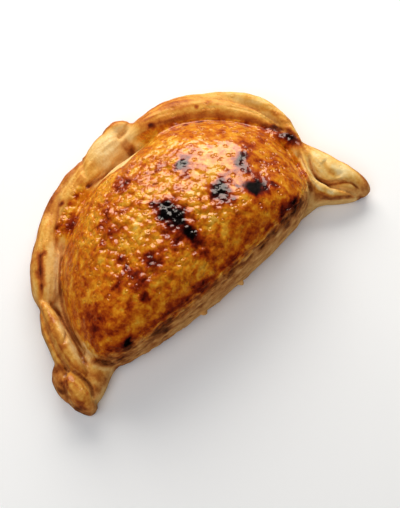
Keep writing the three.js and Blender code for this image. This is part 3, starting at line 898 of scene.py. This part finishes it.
def egg_washed_shortcrust():
    """Shortcrust brushed with egg: mottled amber under a hard clear gloss, matt and pale where bare."""
    material = bpy.data.materials.new("egg_washed_shortcrust")
    material.use_nodes = True
    tree = material.node_tree
    tree.nodes.clear()
    place = node(tree, "TexCoord").outputs["Object"]
    baked_and_shaded, washed, shining, blisters, folded = (
        node(tree, "Attribute", attribute_name=name).outputs["Fac"]
        for name in ("bake_and_shading", "wash", "gloss", "blister", "fold")
    )
    along_fold = node(tree, "Mapping", {"Vector": place, "Scale": (WRINKLE_LENGTH, 1.0, 1.0)})
    mottle, specks, ripples, pores, folds = (
        node(tree, "TexNoise", {"Vector": along_fold if name == "wrinkles" else place,
                                "Scale": 1 / (size * MM), **settings})
        for name, (size, settings) in CRUST_NOISE.items()
    )

    # How brown: the bake with its painted shade and light, mottled where the wash shines and less where it
    # is charred, with fine specks.
    centred = node(tree, "MapRange", {"Value": mottle, "To Min": -0.5, "To Max": 0.5})
    fine = node(tree, "MapRange", {"Value": specks, "To Min": -0.1, "To Max": 0.1})
    lively = node(tree, "MapRange",
                  {"Value": shining, "From Min": 0.1, "From Max": 0.8, "To Min": 0.3, "To Max": 0.9})
    uncharred = node(tree, "MapRange",
                     {"Value": baked_and_shaded, "From Min": 0.6, "From Max": 0.95, "To Min": 1.0, "To Max": 0.35})
    depth = node(tree, "Math", {0: lively, 1: uncharred}, operation="MULTIPLY")
    mottled = node(tree, "Math", {0: centred, 1: depth, 2: baked_and_shaded}, operation="MULTIPLY_ADD")
    speckled = node(tree, "Math", {0: mottled, 1: fine}, operation="ADD")

    # The wrinkled skin over the fold: ridges along it, painted paler than the hollows as painted light and
    # shade.
    crowded = node(tree, "Math", {0: folds, 1: WRINKLE["rows"]}, operation="MULTIPLY")
    ridges = node(tree, "Math", {0: crowded, 1: 1.0}, operation="PINGPONG")
    wrinkled = node(tree, "Math", {0: ridges, 1: folded}, operation="MULTIPLY")
    brown = node(tree, "Math", {0: wrinkled, 1: WRINKLE["painted_ridge_light"], 2: speckled}, operation="MULTIPLY_ADD")

    bare_colour = node(tree, "ValToRGB", {0: brown}, stops=BARE_STOPS)
    washed_colour = node(tree, "ValToRGB", {0: brown}, stops=WASHED_STOPS)
    colour = node(tree, "Mix", {0: washed, 6: bare_colour, 7: washed_colour}, data_type="RGBA")
    roughness = node(tree, "MapRange", {"Value": shining, "To Min": 0.6, "To Max": 0.4})

    # Heights in mm: beads of glaze, rings left by burst ones, dry pores and the wrinkles.
    beads = node(tree, "TexVoronoi",
                 {"Vector": place, "Scale": 1 / (BEAD["size"] * MM), "Smoothness": 0.35},
                 feature="SMOOTH_F1")
    domed = node(tree, "Math", {0: beads, 1: 2.0}, operation="POWER")
    swell = node(tree, "MapRange", {"Value": ripples, "To Max": BEAD["ripples"]})
    bead = node(tree, "Math", {0: domed, 1: -BEAD["height"], 2: swell}, operation="MULTIPLY_ADD")
    glazed = node(tree, "Math", {0: bead, 1: blisters}, operation="MULTIPLY")
    cells = node(tree, "TexVoronoi", {"Vector": place, "Scale": 1 / (RING["size"] * MM)}, feature="F1")
    burst = node(tree, "Math", {0: cells.outputs["Color"], 1: RING["whole"]}, operation="GREATER_THAN")
    off = node(tree, "Math", {0: cells, 1: RING["radius"]}, operation="SUBTRACT")
    off_ring = node(tree, "Math", {0: off}, operation="ABSOLUTE")
    ring = node(tree, "MapRange",
                {"Value": off_ring, "From Max": RING["width"], "To Min": -RING["height"], "To Max": 0.0})
    rings = node(tree, "Math", {0: ring, 1: burst}, operation="MULTIPLY")
    ringed = node(tree, "Math", {0: rings, 1: washed, 2: glazed}, operation="MULTIPLY_ADD")
    dry = node(tree, "MapRange", {"Value": washed, "To Min": PORES["bare"], "To Max": PORES["washed"]})
    pored = node(tree, "Math", {0: pores, 1: dry, 2: ringed}, operation="MULTIPLY_ADD")
    height = node(tree, "Math", {0: wrinkled, 1: WRINKLE["height"], 2: pored}, operation="MULTIPLY_ADD")
    bump = node(tree, "Bump", {"Height": height, "Distance": 1.0 * MM, "Strength": 1.0})

    shader = node(tree, "BsdfPrincipled", {
        "Base Color": colour.outputs[2],
        "Roughness": roughness,
        "Specular IOR Level": 0.06,
        "Normal": bump,
        "Coat Weight": shining,
        "Coat Roughness": 0.04,
        "Coat IOR": 1.5,
        "Coat Normal": bump,
    })
    node(tree, "OutputMaterial", {"Surface": shader})
    return material


# -------------------- the empanada

def empanada():
    bm = one_skin(raw_dough())
    relax(bm)
    trim_base(bm)
    emboss(bm)
    bm = thinned(bm)
    bm.normal_update()
    at = survey(*arrays(bm))
    crease = creases(bm, FINE_CREASE)
    move_to_frame(bm)
    for face in bm.faces:
        face.smooth = True
    mesh = as_mesh(bm, "baked_empanada")
    layers = {"bake_and_shading": bake_and_shading(at, crease), "wash": wash(at, crease), "gloss": gloss(at),
              "blister": blistered(at), "fold": fold_band(at)}
    for name, values in layers.items():
        mesh.attributes.new(name, "FLOAT", "POINT").data.foreach_set("value", values)
    mesh.materials.append(egg_washed_shortcrust())
    return put("baked_empanada", mesh)


def move_to_frame(bm):
    """Puts the pastry, in metres, where the plain solid lies."""
    low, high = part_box("empanada")
    place = arrays(bm)[0] * MM
    middle = (place.min(axis=0) + place.max(axis=0)) / 2
    shift = Vector(((low.x + high.x) / 2 - middle[0], (low.y + high.y) / 2 - middle[1], 0))
    bmesh.ops.scale(bm, verts=bm.verts, vec=(MM, MM, MM))
    bmesh.ops.translate(bm, verts=bm.verts, vec=shift)


# -------------------- the studio

CAMERA = {"azimuth": -39.5, "elevation": 70.0, "distance": 0.471, "lens": 85.0,
          "target": (0.0011, -0.0235, 0.012)}
LAMPS = {
    "softbox": {"azimuth": 144.0, "elevation": 28.0, "distance": 0.6, "size": (0.7, 0.42), "power": 5.6,
                "colour": "#fffaf0", "seen": "diffuse"},
    "sheen": {"azimuth": 144.0, "elevation": 28.0, "distance": 0.58, "size": (0.7, 0.42), "power": 5.4,
              "colour": "#fff3e6", "seen": "glossy"},
    "fill": {"azimuth": -70.0, "elevation": 62.0, "distance": 0.9, "size": (0.8, 0.8), "power": 4.0,
             "colour": "#ffffff", "seen": "diffuse"},
}
LAMPS_AIM = (0, 0, 0.02)
ROOM = {"colour": "#ffffff", "strength": 0.16}
FLOOR = {"size": 4.0, "gap": 0.0002, "colour": "#f7f8fa", "roughness": 0.9}


def towards(azimuth, elevation):
    """The unit vector from the pastry to a place round it: azimuth 0 is in front, 90 on the right."""
    a, e = math.radians(azimuth), math.radians(elevation)
    return Vector((math.sin(a) * math.cos(e), -math.cos(a) * math.cos(e), math.sin(e)))


def aim(thing, target, direction, distance):
    thing.location = Vector(target) + direction * distance
    thing.rotation_euler = (-direction).to_track_quat("-Z", "Y").to_euler()


def camera():
    data = bpy.data.cameras.new("camera")
    data.lens = CAMERA["lens"]
    made = put("camera", data)
    aim(made, CAMERA["target"], towards(CAMERA["azimuth"], CAMERA["elevation"]), CAMERA["distance"])
    bpy.context.scene.camera = made


def lamp(name, light):
    data = bpy.data.lights.new(name, "AREA")
    data.shape = "RECTANGLE"
    data.size, data.size_y = light["size"]
    data.energy = light["power"]
    data.color = linear(light["colour"])[:3]
    made = put(name, data)
    made.visible_diffuse = light["seen"] == "diffuse"
    made.visible_glossy = light["seen"] == "glossy"
    aim(made, LAMPS_AIM, towards(light["azimuth"], light["elevation"]), light["distance"])


def floor():
    bm = bmesh.new()
    bmesh.ops.create_grid(bm, x_segments=1, y_segments=1, size=FLOOR["size"] / 2)
    bmesh.ops.translate(bm, verts=bm.verts, vec=(0, 0, -FLOOR["gap"]))
    mesh = as_mesh(bm, "floor")
    material = bpy.data.materials.new("matt_white_board")
    material.use_nodes = True
    shader = material.node_tree.nodes["Principled BSDF"]
    shader.inputs["Base Color"].default_value = linear(FLOOR["colour"])
    shader.inputs["Roughness"].default_value = FLOOR["roughness"]
    mesh.materials.append(material)
    board = put("floor", mesh)
    board.visible_glossy = False


def room():
    world = bpy.data.worlds.new("room")
    world.use_nodes = True
    background = world.node_tree.nodes["Background"]
    background.inputs["Color"].default_value = linear(ROOM["colour"])
    background.inputs["Strength"].default_value = ROOM["strength"]
    bpy.context.scene.world = world
    world.cycles_visibility.glossy = False
    bpy.context.scene.view_settings.view_transform = "Standard"


pastry = empanada()
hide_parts("empanada")
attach(pastry, "root")

floor()
room()
for name, light in LAMPS.items():
    lamp(name, light)
camera()
